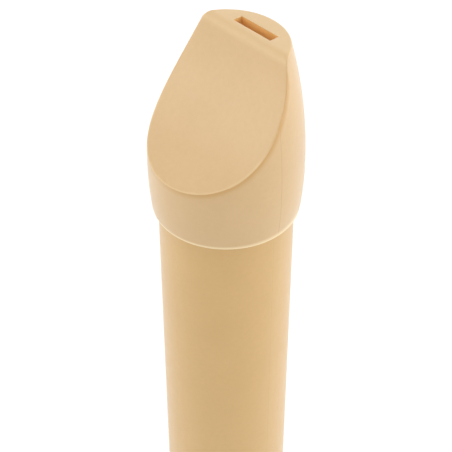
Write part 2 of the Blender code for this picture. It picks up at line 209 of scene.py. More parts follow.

# Colours of the plastic. The seams' colour and the dark and light mottling are shares of each of them.
# The cap's copy of the plastic is painted paler than the tube's, standing in for the brighter light that
# falls on the cap.
CAP_PAINTED_LIGHT_PLASTIC = (0.702, 0.485, 0.252)
PLASTIC = (0.690, 0.450, 0.190)
# Painted highlight: the paler colour of the cap's lip rounding, flat top and the low part of the cut's
# edge.
PAINTED_HIGHLIGHT_COLOUR = (0.95, 0.75, 0.44)
# Painted shade: the deeper colour of the cut's high edge and the band on the side just under it.
PAINTED_SHADE_COLOUR = (0.63, 0.365, 0.130)
# Painted glow: a brighter golden colour on the windway slot's walls, standing in for light bouncing inside
# the slot.
WINDWAY_PAINTED_LIGHT = (0.94, 0.57, 0.200)
BLOCK_PLASTIC = (0.700, 0.440, 0.180)
DARK_SHARES = (0.965, 0.955, 0.93)
LIGHT_SHARE = 1.03
SEAM_SHARES = (0.8, 0.68, 0.55)
SEAM_STRENGTH = 0.6
SHEEN = 0.3
CAP_SHEEN = 0.4

# Surface of the plastic: widths of its spots, heights of its relief, the part of a noise's values that
# counts, and the least and most roughness
CLOUD_SIZE = 14
CLOUD_SHARE = 0.6
SPECK_SIZE = 0.9
GRAIN_SIZE = 0.16
GRAIN_HEIGHT = 0.0025
WAVE_SIZE = 5
WAVE_HEIGHT = 0.02
GLOSS_SIZE = 2.5
NOISE_RANGE = (0.3, 0.7)
ROUGHNESS = (0.36, 0.44)

# Cork: its granules, its pores and the gaps between the granules. Widths of gaps are shares of a granule.
CORK_DARK = (0.26, 0.125, 0.05)
CORK_LIGHT = (0.56, 0.335, 0.17)
PORE_COLOUR = (0.09, 0.04, 0.018)
GAP_COLOUR = (0.14, 0.065, 0.028)
GRANULE_SIZE = 0.7
PORE_SIZE = 0.35
PORE_RANGE = (0.62, 0.72)
GAP_WIDTH = 0.06
GAP_STRENGTH = 0.75
GAP_SLOPE = 0.15
CORK_RELIEF = 0.05
CORK_ROUGHNESS = (0.7, 0.9)

# Camera: where the lip's centre lies in the photograph, how far off it is and how the camera points. What
# lies outside the clip range, in metres, isn't drawn.
PHOTO_SIZE = 452
FOCAL_PIXELS = 1250
LIP_CENTRE_PIXEL = (226.2, 201.4)
LIP_DISTANCE = 233.3
CAMERA_AZIMUTH = math.radians(227.5)
CAMERA_PITCH = math.radians(40.53)
SENSOR_WIDTH = 36
CLIP_RANGE = (0.01, 100)

# Studio: a white surround, a wide floor that is lifted to white, more so further off, and large soft
# lamps. Their distance and size are in metres. A lamp has a turn from the camera's side and a height, both
# in degrees, and a power.
WORLD_STRENGTH = 0.58
FLOOR_HALF = 3000
FLOOR_GREY = 0.8
FLOOR_LIFT = (0.16, 0.54)
FLOOR_LIFT_START = 100
LAMP_DISTANCE = 1.5
LAMP_SIZE = 1.1
LAMPS = (
    ("left_softbox", -80, 20, 5.3),
    ("right_softbox", 80, 20, 7.7),
    ("top_softbox", 180, 50, 1.3),
    ("overhead_softbox", 0, 85, 2.7),
    ("upper_softbox", 0, 55, 0.8),
    ("front_softbox", 0, 5, 2.1),
    ("far_left_softbox", -125, 15, 5.5),
    ("far_right_softbox", 125, 15, 5.8),
)

# A hole with its place across and up, which side of the tube it is on, and the part of the wall's grid
# that it takes: columns from first to last, counted from the middle of that side, and half a height
Hole = namedtuple("Hole", "x z radius edge side first last zone")


class Shape:
    """The points and faces of a mesh that is being made."""

    def __init__(self):
        self.points = []
        self.faces = []

    def point(self, place):
        self.points.append(place)
        return len(self.points) - 1

    def row(self, places):
        return [self.point(place) for place in places]

    def bridge(self, first, second, closed=True):
        """Four-sided faces between two rows of as many points."""
        count = len(first)
        for i in range(count if closed else count - 1):
            j = (i + 1) % count
            self.faces.append((first[i], first[j], second[j], second[i]))

    def fan(self, row, pole, closed=True):
        """Triangles from a row to one point."""
        count = len(row)
        for i in range(count if closed else count - 1):
            self.faces.append((row[i], row[(i + 1) % count], pole))

    def build(self, name):
        mesh = bpy.data.meshes.new(name)
        mesh.from_pydata([Vector(p) * MM for p in self.points], [], self.faces)
        work = bmesh.new()
        work.from_mesh(mesh)
        bmesh.ops.remove_doubles(work, verts=work.verts, dist=WELD * MM)
        bmesh.ops.dissolve_degenerate(work, edges=work.edges, dist=SLIVER * MM)
        bmesh.ops.recalc_face_normals(work, faces=work.faces)
        work.to_mesh(mesh)
        work.free()
        made = bpy.data.objects.new(name, mesh)
        bpy.context.scene.collection.objects.link(made)
        return made


def arc_corner(before, corner, after, radius, steps=ARC_STEPS):
    """Points of a round corner between two straight stretches of a profile."""
    before, corner, after = Vector(before), Vector(corner), Vector(after)
    back = (before - corner).normalized()
    on = (after - corner).normalized()
    half = back.angle(on) / 2
    reach = radius / math.tan(half)
    centre = corner + (back + on).normalized() * (radius / math.sin(half))
    start = corner + back * reach - centre
    sweep = start.angle_signed(corner + on * reach - centre)
    points = []
    for i in range(steps + 1):
        turned_by = -sweep * i / steps
        x = start.x * math.cos(turned_by) - start.y * math.sin(turned_by)
        y = start.x * math.sin(turned_by) + start.y * math.cos(turned_by)
        points.append((centre.x + x, centre.y + y))
    return points


def columns(count, radius, seam=True):
    """Angles round the axis from the front, with closer ones at both parting lines."""
    angles = [math.radians(360 * i / count - 90) for i in range(count)]
    if seam:
        for side in (0, math.pi):
            for step in SEAM_STEPS:
                angles.append(side + step * SEAM_HALF_WIDTH / radius)
    return sorted(angles)


def on_seam(angle):
    return abs(math.sin(angle)) < SAME_ANGLE


def ring(shape, angles, radius, height, seam=0, bend=None):
    """A row round the axis. Its points on the parting lines lie deeper by seam."""
    places = []
    for angle in angles:
        at = bend(angle) if bend else angle
        r = radius - (seam if on_seam(angle) else 0)
        places.append((r * math.cos(at), r * math.sin(at), height))
    return shape.row(places)


def turned(name, profile, angles, closed=True, seam=0):
    """A turned shape from (radius, height) points. A third value of True puts the parting lines on it."""
    shape = Shape()
    rows = []
    for radius, height, *lined in profile:
        if radius == 0:
            rows.append(shape.point((0, 0, height)))
        else:
            rows.append(ring(shape, angles, radius, height, seam if lined else 0))
    pairs = list(zip(rows, rows[1:]))
    if closed:
        pairs.append((rows[-1], rows[0]))
    for first, second in pairs:
        if isinstance(first, int):
            shape.fan(second, first)
        elif isinstance(second, int):
            shape.fan(first, second)
        else:
            shape.bridge(first, second)
    return shape.build(name)


def prism(name, outline, half_width):
    """A closed (y, z) outline, extruded along X to this width on both sides of the axis."""
    shape = Shape()
    left = shape.row([(-half_width, y, z) for y, z in outline])
    right = shape.row([(half_width, y, z) for y, z in outline])
    shape.bridge(left, right)
    shape.faces += [tuple(left), tuple(right)]
    return shape.build(name)


def combine(piece, tool, operation="DIFFERENCE"):
    """Cuts the tool out of the piece, or joins it on, and removes the tool."""
    change = piece.modifiers.new("change", "BOOLEAN")
    change.operation = operation
    change.object = tool
    change.solver = "EXACT"
    graph = bpy.context.evaluated_depsgraph_get()
    mesh = bpy.data.meshes.new_from_object(piece.evaluated_get(graph))
    piece.modifiers.clear()
    piece.data = mesh
    bpy.data.objects.remove(tool, do_unlink=True)


def round_edges(piece, chosen, width, segments=3):
    """Rounds the edges whose two ends both pass the test, given in millimetres."""
    work = bmesh.new()
    work.from_mesh(piece.data)
    edges = []
    for edge in work.edges:
        ends = [vert.co / MM for vert in edge.verts]
        if edge.calc_face_angle(0) > SHARP_ANGLE and chosen(*ends):
            edges.append(edge)
    bmesh.ops.bevel(
        work,
        geom=edges,
        offset=width * MM,
        segments=segments,
        profile=0.5,
        affect="EDGES",
        clamp_overlap=False,
    )
    work.to_mesh(piece.data)
    work.free()


def wall_lines(low, high, holes, fine=0.6, coarse=3.0):
    """Heights of a drilled wall's rows: close together beside holes, and further apart elsewhere."""
    stops = {low, high}
    for hole in holes:
        stops.update((hole.z - hole.zone, hole.z + hole.zone))
    stops = sorted(stops)
    lines = [low]
    for start, stop in zip(stops, stops[1:]):
        middle = (start + stop) / 2
        beside = any(abs(middle - hole.z) < hole.zone for hole in holes)
        count = math.ceil((stop - start) / (fine if beside else coarse))
        lines += [start + (stop - start) * i / count for i in range(1, count + 1)]
    return lines


def drilled_wall(shape, lines, angles, radius, holes, outer, seam=0, bend=None):
    """A wall round the axis with round holes in it, whose edges are rounded.

    The wall is a grid. Each hole takes a block of its cells, and rings of points lead from the block's
    border to the hole's rim. Returns the wall's lowest and highest rows and the rims inside the holes."""
    count = len(angles)
    middles = {-1: 0, 1: min(range(count), key=lambda i: abs(angles[i] - math.pi / 2))}
    hidden, open_cells, blocks = set(), set(), []
    for hole in holes:
        first, last = middles[hole.side] + hole.first, middles[hole.side] + hole.last
        low = min(range(len(lines)), key=lambda j: abs(lines[j] - hole.z + hole.zone))
        high = min(range(len(lines)), key=lambda j: abs(lines[j] - hole.z - hole.zone))
        blocks.append((hole, first, last, low, high))
        for j in range(low, high):
            open_cells.update((i % count, j) for i in range(first, last))
        for j in range(low + 1, high):
            hidden.update((i % count, j) for i in range(first + 1, last))
    grid = {}
    for j, height in enumerate(lines):
        for i, angle in enumerate(angles):
            if (i, j) not in hidden:
                at = bend(angle) if bend else angle
                r = radius(height) - (seam if on_seam(angle) else 0)
                grid[i, j] = shape.point((r * math.cos(at), r * math.sin(at), height))
    for j in range(len(lines) - 1):
        for i in range(count):
            if (i, j) not in open_cells:
                k = (i + 1) % count
                shape.faces.append((grid[i, j], grid[k, j], grid[k, j + 1], grid[i, j + 1]))
    rims = [round_hole(shape, grid, block, count, radius, outer) for block in blocks]
    last_line = len(lines) - 1
    low_row = [grid[i, 0] for i in range(count)]
    high_row = [grid[i, last_line] for i in range(count)]
    return low_row, high_row, rims


def round_hole(shape, grid, block, count, radius, outer, rings=3, steps=ARC_STEPS):
    """Rings of points from a block's border in to a hole's rounded rim. Returns the rim's last ring."""
    hole, first, last, low, high = block
    border = [(i, low) for i in range(first, last)]
    border += [(last, j) for j in range(low, high)]
    border += [(i, high) for i in range(last, first, -1)]
    border += [(first, j) for j in range(high, low, -1)]
    border = [grid[i % count, j] for i, j in border]
    reaches, turns = [], []
    for index in border:
        x, _, z = shape.points[index]
        reaches.append(math.hypot(x - hole.x, z - hole.z))
        turns.append(math.atan2(z - hole.z, x - hole.x))

    def place(reach, turn, depth):
        x = hole.x + reach * math.cos(turn)
        z = hole.z + reach * math.sin(turn)
        y = math.sqrt(radius(z) ** 2 - x * x) + (-depth if outer else depth)
        return (x, hole.side * y, z)

    previous = border
    rim = hole.radius + hole.edge
    for k in range(1, rings + 1):
        share = 1 - k / rings
        row = [place(rim + (far - rim) * share, turn, 0) for far, turn in zip(reaches, turns)]
        row = shape.row(row)
        shape.bridge(previous, row)
        previous = row
    for k in range(1, steps + 1):
        angle = math.pi / 2 * k / steps
        reach = hole.radius + hole.edge * (1 - math.sin(angle))
        depth = hole.edge * (1 - math.cos(angle))
        row = shape.row([place(reach, turn, depth) for turn in turns])
        shape.bridge(previous, row)
        previous = row
    return previous


def spread_bend(angle):
    """Moves a bore's columns round, so that a hole's block is about as wide in it as on the outside."""
    away = (angle + math.pi / 2 + math.pi) % (2 * math.pi) - math.pi
    size = abs(away)
    if size < SPREAD_INNER:
        moved = 2 * size
    elif size > SPREAD_OUTER:
        moved = math.pi - 2 * (math.pi - size)
    else:
        share = (size - SPREAD_INNER) / (SPREAD_OUTER - SPREAD_INNER)
        moved = 2 * SPREAD_INNER + (math.pi - 4 * SPREAD_INNER) * share
    return math.copysign(moved, away) - math.pi / 2


def cap_radius(height):
    """Outer radius of the cap at a height above its lip."""
    if height < CAP_WIDEST_HEIGHT:
        return CAP_WIDEST_RADIUS - CAP_SWELL * (1 - height / CAP_WIDEST_HEIGHT) ** 2
    share = (height - CAP_WIDEST_HEIGHT) / (CAP_HEIGHT - CAP_WIDEST_HEIGHT)
    drop = CAP_WIDEST_RADIUS - CAP_TOP_RADIUS
    return CAP_WIDEST_RADIUS - drop * share**CAP_CURVE_POWER


def cut_circle():
    """Centre (y, height above the lip) of the beak's hollow cut."""
    top = Vector((CUT_TOP_Y, CAP_HEIGHT))
    heel = Vector((CAP_WIDEST_RADIUS, CUT_HEEL_HEIGHT))
    half = (heel - top) / 2
    outward = Vector((-half.y, half.x)).normalized()
    return top + half + outward * math.sqrt(CUT_RADIUS**2 - half.length**2)


CUT_CENTRE = cut_circle()
CUT_REACH = CUT_RADIUS + CUT_ROUNDING
ROUND_HEIGHT = CAP_HEIGHT - CUT_ROUNDING
ROUND_Y = CUT_CENTRE.x - math.sqrt(CUT_REACH**2 - (CUT_CENTRE.y - ROUND_HEIGHT) ** 2)
ROUND_TURN = math.atan2(CUT_CENTRE.x - ROUND_Y, CUT_CENTRE.y - ROUND_HEIGHT)
ROUND_STOP_Y = ROUND_Y + CUT_ROUNDING * math.sin(ROUND_TURN)


def top_height(y):
    """Height of the cap's upper side above the lip: flat in front, a round edge, then the hollow cut."""
    if y <= ROUND_Y:
        return CAP_HEIGHT
    if y < ROUND_STOP_Y:
        return ROUND_HEIGHT + math.sqrt(CUT_ROUNDING**2 - (y - ROUND_Y) ** 2)
    return CUT_CENTRE.y - math.sqrt(CUT_RADIUS**2 - (y - CUT_CENTRE.x) ** 2)


def solve(function, low, high, steps=50):
    """Where a function that is negative at low and positive at high is zero."""
    for _ in range(steps):
        middle = (low + high) / 2
        if function(middle) < 0:
            low = middle
        else:
            high = middle
    return (low + high) / 2


def share_of(value, start, stop):
    """How far a value is on its way from start to stop, from 0 to 1."""
    return min(max((value - start) / (stop - start), 0), 1)


def cap_edge(turn):
    """The cap's rounded upper edge in the half plane at this turn from the front.

    Its (radius, height) points lead from the side to the upper side, and touch both without a crease."""
    facing = -math.cos(turn)

    def side(height):
        return Vector((cap_radius(height), height))

    def upper(radius):
        return Vector((radius, top_height(radius * facing)))

    def above(height):
        return height - top_height(cap_radius(height) * facing)

    edge = side(solve(above, 0, CAP_HEIGHT + NEAR))
    down = (side(edge.y - NEAR) - edge).normalized()
    inward = (upper(edge.x - NEAR) - edge).normalized()
    fade = share_of(math.degrees(turn), *ROUNDING_FADE)
    fade = fade * fade * (3 - 2 * fade)
    rounding = TOP_EDGE_ROUNDING + (CUT_EDGE_ROUNDING - TOP_EDGE_ROUNDING) * fade
    half = down.angle(inward) / 2
    reach = rounding / math.tan(half)
    start = side(edge.y - reach * -down.y)
    end = upper(edge.x - reach * -inward.x)
    start_way = (side(start.y + NEAR) - side(start.y - NEAR)).normalized()
    end_way = (upper(end.x + NEAR) - upper(end.x - NEAR)).normalized()
    gap = end - start
    turn_of = start_way.x * end_way.y - start_way.y * end_way.x
    along = (gap.x * end_way.y - gap.y * end_way.x) / turn_of
    corner = start + start_way * along
    weight = math.sin(half)
    points = []
    for i in range(ARC_STEPS + 2):
        t = i / (ARC_STEPS + 1)
        shares = ((1 - t) ** 2, 2 * t * (1 - t) * weight, t * t)
        total = sum(shares)
        points.append((start * shares[0] + corner * shares[1] + end * shares[2]) / total)
    return points


def cap_turns(count=120):
    """Turns from the front to the back at which the cap's edge is worked out.

    There are more of them beside the parting line and over the cut's round start. Those whose row across
    the top would lie too near the windway slot's edges are left out."""
    turns = [math.pi * i / count for i in range(count + 1)]
    beside = SEAM_HALF_WIDTH / CAP_WIDEST_RADIUS
    turns += [math.pi / 2 + step * beside for step in SEAM_STEPS]
    rounding_rows = 12
    for i in range(rounding_rows + 1):
        y = ROUND_Y + CUT_ROUNDING * math.sin(ROUND_TURN * i / rounding_rows)

        def beyond(turn):
            return -cap_edge(turn)[-1].x * math.cos(turn) - y

        turns.append(solve(beyond, 0, math.pi))
    turns.sort()
    kept = [turns[0]]
    for turn in turns[1:]:
        y = -cap_edge(turn)[-1].x * math.cos(turn)
        by_slot = min(abs(y + FLOOR_TOP), abs(y + ROOF_TOP)) < 2 * SLOT_EDGE
        if turn - kept[-1] > beside / 2 and not by_slot:
            kept.append(turn)
    return kept


def make_cap_body():
    """The cap's outside as a closed mesh, before the windway and the pockets are cut.

    Its columns stand at the turns of cap_turns, on the right and mirrored on the left. Its upper side is
    made of straight rows that join a point on the right to its mirror image."""
    turns = cap_turns()
    side_rows = 22
    lip_steps = 4
    shape = Shape()
    cols = {}
    edges = []
    for number, turn in enumerate(turns):
        edge = cap_edge(turn)
        edges.append(edge)
        line = []
        for i in range(lip_steps + 1):
            angle = math.pi / 2 * i / lip_steps
            radius = RIM_RADIUS - LIP_ROUNDING * (1 - math.sin(angle))
            line.append((radius, LIP_ROUNDING * (1 - math.cos(angle))))
        side_top = edge[0].y - RIM_SHADE_DEPTH
        side_height = side_top - LIP_ROUNDING
        heights = [LIP_ROUNDING + side_height * i / side_rows for i in range(1, side_rows + 1)]
        heights += [edge[0].y - RIM_SHADE_DEPTH / 3, edge[0].y - CUT_EDGE_ROUNDING]
        line += [(cap_radius(height), height) for height in heights]
        line += [tuple(point) for point in edge]
        seam = SEAM_DEPTH if abs(turn - math.pi / 2) < SAME_ANGLE else 0
        for side in (1, -1):
            if side < 0 and number in (0, len(turns) - 1):
                cols[number, side] = cols[number, 1]
                continue
            column = []
            for index, (radius, height) in enumerate(line):
                r = radius - (seam if 0 < index < len(line) - len(edge) // 2 else 0)
                x, y = side * r * math.sin(turn), -r * math.cos(turn)
                column.append(shape.point((x, y, LIP + height)))
            cols[number, side] = column
    for side in (1, -1):
        for number in range(len(turns) - 1):
            shape.bridge(cols[number, side], cols[number + 1, side], closed=False)
    rim = [cols[number, 1][0] for number in range(len(turns))]
    rim += [cols[number, -1][0] for number in range(len(turns) - 2, 0, -1)]
    shape.faces.append(tuple(rim))
    add_upper_side(shape, cols, len(turns))
    return shape.build("mouthpiece_beak")


def add_upper_side(shape, cols, count):
    """The flat top and the hollow cut, in straight rows across from edge to edge."""
    shares = (-0.97, -0.88, -0.7, -0.45, -0.2, 0, 0.2, 0.45, 0.7, 0.88, 0.97)
    previous = None
    for number in range(1, count - 1):
        right, left = cols[number, 1][-1], cols[number, -1][-1]
        x, y, z = shape.points[right]
        row = [left] + shape.row([(x * share, y, z) for share in shares]) + [right]
        if previous is None:
            shape.fan(row, cols[0, 1][-1], closed=False)
        else:
            shape.bridge(previous, row, closed=False)
        previous = row
    shape.fan(previous, cols[count - 1, 1][-1], closed=False)


def make_cap():
    """The cap: its body, the pockets for the spigot and the block's head, and the windway's slot."""
    cap = make_cap_body()
    above = CAP_TOP + CUTTER_PAST
    below = LIP - CUTTER_PAST
    pocket_top = LIP + BLOCK_POCKET_DEPTH
    spigot_top = LIP + SPIGOT_POCKET_DEPTH
    pocket = [
        (0, pocket_top),
        (HEAD_BORE, pocket_top),
        (HEAD_BORE, spigot_top),
        (SPIGOT_POCKET_RADIUS, spigot_top),
        (SPIGOT_POCKET_RADIUS, below),
        (0, below),
    ]
    combine(cap, turned("pocket", pocket, columns(BLOCK_COLUMNS, 1, seam=False), closed=False))
    slot_start = spigot_top - CUTTER_OVERLAP
    slot = [
        (-ROOF_TOP, above),
        (-ROOF_TOP, slot_start),
        (-CHANNEL_START, slot_start),
        (-CHANNEL_START, pocket_top),
        (-FLOOR_TOP, pocket_top),
        (-FLOOR_TOP, above),
    ]
    combine(cap, prism("slot", slot, WINDWAY_HALF))

    def on_slot_edge(place):
        on_top = abs(place.z - CAP_TOP) < NEAR
        return on_top and abs(place.x) < WINDWAY_HALF + NEAR and place.y < -FLOOR_TOP + NEAR

    def at_slot_edge(*ends):
        return all(on_slot_edge(end) for end in ends)

    round_edges(cap, at_slot_edge, SLOT_EDGE)
    return cap


def make_head():
    """The head tube: rim, long plain wall, spigot inside the cap, bore and socket, then the voicing."""
    rim_low = HEAD_RIM - SOLID_GAP + HAIRLINE
    rim = arc_corner((TUBE_RADIUS, LIP), (TUBE_RADIUS, rim_low), (0, rim_low), EDGE)
    profile = [(TUBE_RADIUS, HEAD_SHOULDER, True)]
    profile += [(radius, height, True) for radius, height in rim]
    profile += [
        (HEAD_SOCKET_RADIUS + EDGE, rim_low),
        (HEAD_SOCKET_RADIUS, rim_low + EDGE),
        (HEAD_SOCKET_RADIUS, HEAD_SOCKET_FLOOR),
        (HEAD_BORE, HEAD_SOCKET_FLOOR),
        (HEAD_BORE, SPIGOT_TOP),
        (SPIGOT_RADIUS - EDGE, SPIGOT_TOP),
        (SPIGOT_RADIUS, SPIGOT_TOP - EDGE),
        (SPIGOT_RADIUS, HEAD_SHOULDER),
    ]
    angles = columns(HEAD_COLUMNS, TUBE_RADIUS)
    head = turned("head_tube_body", profile, angles, seam=FAINT_SEAM_DEPTH)
    edge = WINDOW_TOP - WINDOW_CUT_UP
    outside = TUBE_RADIUS + CUTTER_PAST
    above = SPIGOT_TOP + CUTTER_PAST
    slope = LABIUM_RAMP / (TUBE_RADIUS - LABIUM_EDGE)
    under = LABIUM_EDGE - LABIUM_THICKNESS
    voicing = [
        (-CHANNEL_START, above),
        (-ROOF_TOP, above),
        (-ROOF_TOP, SPIGOT_TOP),
        (-ROOF_END, WINDOW_TOP),
        (-outside, WINDOW_TOP),
        (-outside, edge - slope * (outside - LABIUM_EDGE)),
        (-LABIUM_EDGE, edge),
        (-under, edge),
        (-under, edge - UNDERCUT_LENGTH),
        (-CHANNEL_START, edge - UNDERCUT_LENGTH - UNDERCUT_RUNOUT),
    ]
    combine(head, prism("voicing", voicing, WINDWAY_HALF))
    return head


def make_block():
    """The plug in the bore, with the raised land that is the windway's floor."""
    radius = HEAD_BORE - HAIRLINE
    profile = [
        (0, BLOCK_TOP),
        (radius - SOLID_GAP, BLOCK_TOP),
        (radius, BLOCK_TOP - SOLID_GAP),
        (radius, BLOCK_FOOT + SOLID_GAP),
        (radius - SOLID_GAP, BLOCK_FOOT),
        (0, BLOCK_FOOT),
    ]
    angles = columns(BLOCK_COLUMNS, 1, seam=False)
    block = turned("windway_block", profile, angles, closed=False)
    land = [
        (-FLOOR_TOP, BLOCK_TOP),
        (-FLOOR_END, BLOCK_FOOT + SOLID_GAP),
        (-FLOOR_END + SOLID_GAP, BLOCK_FOOT),
        (-LAND_START, BLOCK_FOOT),
        (-LAND_START, BLOCK_TOP),
    ]
    combine(block, prism("land", land, LAND_HALF), "UNION")
    return block


def middle_radius(height):
    share = (height - LOWER_SHOULDER) / (UPPER_SHOULDER - LOWER_SHOULDER)
    return MIDDLE_END_RADIUS + (MIDDLE_TOP_RADIUS - MIDDLE_END_RADIUS) * share


def middle_bore(height):
    share = (height - MIDDLE_END) / (MIDDLE_TOP - MIDDLE_END)
    return MIDDLE_BORE_END + (MIDDLE_BORE_TOP - MIDDLE_BORE_END) * share


def hole_at(station, radius, side):
    """A single hole at a share of the middle joint's visible length from its top."""
    height = UPPER_SHOULDER - (UPPER_SHOULDER - LOWER_SHOULDER) * station
    return Hole(0, height, radius, HOLE_EDGE, side, -HOLE_REACH, HOLE_REACH, HOLE_ZONE)


def hole_pair(height):
    """A double hole in front: the larger one on the player's right, and the smaller one beside it."""
    (left_x, left_radius), (right_x, right_radius) = DOUBLE_HOLES
    left = Hole(left_x, height, left_radius, SMALL_HOLE_EDGE, -1, -PAIR_REACH, 0, PAIR_ZONE)
    right = Hole(right_x, height, right_radius, SMALL_HOLE_EDGE, -1, 0, PAIR_REACH, PAIR_ZONE)
    return [left, right]


def join_rims(shape, outer, inner):
    for first, second in zip(outer, inner):
        shape.bridge(first, second)


def make_middle():
    """The middle joint: tapering outside with its holes, a grooved tenon at each end, and the bore."""
    thumb = hole_at(*THUMB_HOLE, 1)
    height = UPPER_SHOULDER - (UPPER_SHOULDER - LOWER_SHOULDER) * DOUBLE_HOLE_STATION
    holes = [hole_at(station, radius, -1) for station, radius in FINGER_HOLES]
    holes += [thumb, *hole_pair(height)]
    angles = columns(WALL_COLUMNS, MIDDLE_TOP_RADIUS)
    low, high = height - PAIR_ZONE - WALL_MARGIN, thumb.z + HOLE_ZONE + THUMB_MARGIN
    lines = wall_lines(low, high, holes)
    shape = Shape()

    def outer_row(radius, at, seam=0):
        return ring(shape, angles, radius, at, seam)

    def inner_row(at):
        return ring(shape, angles, middle_bore(at), at, bend=spread_bend)

    seam = FAINT_SEAM_DEPTH
    low_row, high_row, rims = drilled_wall(
        shape, lines, angles, middle_radius, holes, outer=True, seam=seam
    )
    inner_holes = [hole._replace(edge=BORE_EDGE) for hole in holes]
    bore_low, bore_high, bore_rims = drilled_wall(
        shape, lines, angles, middle_bore, inner_holes, outer=False, bend=spread_bend
    )
    join_rims(shape, rims, bore_rims)

    upper_floor, lower_floor = UPPER_COLLAR - GROOVE_DEPTH, LOWER_COLLAR - GROOVE_DEPTH
    top = arc_corner(
        (MIDDLE_END_RADIUS, LOWER_SHOULDER),
        (MIDDLE_TOP_RADIUS, UPPER_SHOULDER),
        (UPPER_COLLAR, UPPER_SHOULDER),
        EDGE,
    )
    upper = [(*point, seam) for point in top]
    upper += [
        (UPPER_COLLAR, UPPER_SHOULDER),
        (UPPER_COLLAR, UPPER_CORK[0] - SOLID_GAP),
        (upper_floor, UPPER_CORK[0] - SOLID_GAP),
        (upper_floor, UPPER_CORK[1] + SOLID_GAP),
        (UPPER_COLLAR, UPPER_CORK[1] + SOLID_GAP),
        *arc_corner((UPPER_COLLAR, UPPER_SHOULDER), (UPPER_COLLAR, MIDDLE_TOP), (0, MIDDLE_TOP), EDGE),
    ]
    shoulder = FOOT_TOP + HAIRLINE
    bottom = arc_corner(
        (MIDDLE_TOP_RADIUS, UPPER_SHOULDER), (MIDDLE_END_RADIUS, shoulder), (LOWER_COLLAR, shoulder), EDGE
    )
    lower = [(*point, seam) for point in bottom]
    lower += [
        (LOWER_COLLAR, shoulder),
        (LOWER_COLLAR, LOWER_CORK[1] + SOLID_GAP),
        (lower_floor, LOWER_CORK[1] + SOLID_GAP),
        (lower_floor, LOWER_CORK[0] - SOLID_GAP),
        (LOWER_COLLAR, LOWER_CORK[0] - SOLID_GAP),
        *arc_corner((LOWER_COLLAR, shoulder), (LOWER_COLLAR, MIDDLE_END), (0, MIDDLE_END), EDGE),
    ]
    for start, profile, bore_row, end in (
        (high_row, upper, bore_high, MIDDLE_TOP),
        (low_row, lower, bore_low, MIDDLE_END),
    ):
        previous = start
        for radius, at, *groove in profile:
            row = outer_row(radius, at, *groove)
            shape.bridge(previous, row)
            previous = row
        last = inner_row(end)
        shape.bridge(previous, last)
        shape.bridge(last, bore_row)
    return shape.build("middle_joint_body")


def foot_radius(height):
    """Outer radius of the foot: straight round the socket, a waist, then out to the end."""
    share = height / FOOT_SOCKET_FLOOR
    if share >= 1:
        return FOOT_RIM_RADIUS
    level = FOOT_END_RADIUS + (FOOT_RIM_RADIUS - FOOT_END_RADIUS) * share
    return level - FOOT_WAIST * math.sin(math.pi * share**FOOT_WAIST_SKEW) ** 2


def foot_bore(height):
    return FOOT_BORE_END + (FOOT_BORE_TOP - FOOT_BORE_END) * height / FOOT_SOCKET_FLOOR


def make_foot():
    """The foot joint: socket at the top, waisted outside with its double hole, flat end face."""
    holes = hole_pair(FOOT_HOLE_HEIGHT)
    angles = columns(WALL_COLUMNS, FOOT_RIM_RADIUS)
    high = FOOT_HOLE_HEIGHT + PAIR_ZONE + WALL_MARGIN
    lines = wall_lines(FOOT_WALL_START, high, holes, coarse=1.2)
    shape = Shape()
    seam = FAINT_SEAM_DEPTH
    low_row, high_row, rims = drilled_wall(shape, lines, angles, foot_radius, holes, outer=True, seam=seam)
    inner_holes = [hole._replace(edge=BORE_EDGE) for hole in holes]
    bore_low, bore_high, bore_rims = drilled_wall(
        shape, lines, angles, foot_bore, inner_holes, outer=False, bend=spread_bend
    )
    join_rims(shape, rims, bore_rims)

    socket = FOOT_SOCKET_RADIUS
    steps = 5
    upper = []
    for i in range(1, steps + 1):
        height = high + (FOOT_SOCKET_FLOOR - high) * i / steps
        upper.append((foot_radius(height), height, seam))
    rim = arc_corner((FOOT_RIM_RADIUS, 0), (FOOT_RIM_RADIUS, FOOT_TOP), (0, FOOT_TOP), EDGE)
    upper += [(*point, seam) for point in rim]
    upper += [(socket + EDGE, FOOT_TOP), (socket, FOOT_TOP - EDGE), (socket, FOOT_SOCKET_FLOOR)]
    lowest = (foot_radius(FOOT_WALL_START), FOOT_WALL_START)
    end = arc_corner(lowest, (FOOT_END_RADIUS, 0), (0, 0), EDGE)
    lower = [(*point, seam) for point in end]
    lower += [(FOOT_BORE_END + EDGE, 0)]
    for start, profile, bore_row, bore_end in (
        (high_row, upper, bore_high, FOOT_SOCKET_FLOOR),
        (low_row, lower, bore_low, EDGE),
    ):
        previous = start
        for radius, at, *groove in profile:
            row = ring(shape, angles, radius, at, *groove)
            shape.bridge(previous, row)
            previous = row
        last = ring(shape, angles, foot_bore(bore_end), bore_end, bend=spread_bend)
        shape.bridge(previous, last)
        shape.bridge(last, bore_row)
    return shape.build("foot_joint_body")


def make_cork(name, heights, collar):
    """A cork ring that fills its groove and stands a little proud of the collars."""
    low, high = heights[0] - SOLID_GAP + HAIRLINE, heights[1] + SOLID_GAP - HAIRLINE
    inner, outer = collar - GROOVE_DEPTH + HAIRLINE, collar + CORK_PROUD
    profile = [(inner, high)]
    profile += arc_corner((inner, high), (outer, high), (outer, low), CORK_ROUNDING)
    rows = 16
    for i in range(1, rows):
        height = high - CORK_ROUNDING - (high - low - 2 * CORK_ROUNDING) * i / rows
        profile.append((outer, height))
    profile += arc_corner((outer, high), (outer, low), (inner, low), CORK_ROUNDING)
    profile.append((inner, low))
    return turned(name, profile, columns(WALL_COLUMNS, 1, seam=False))


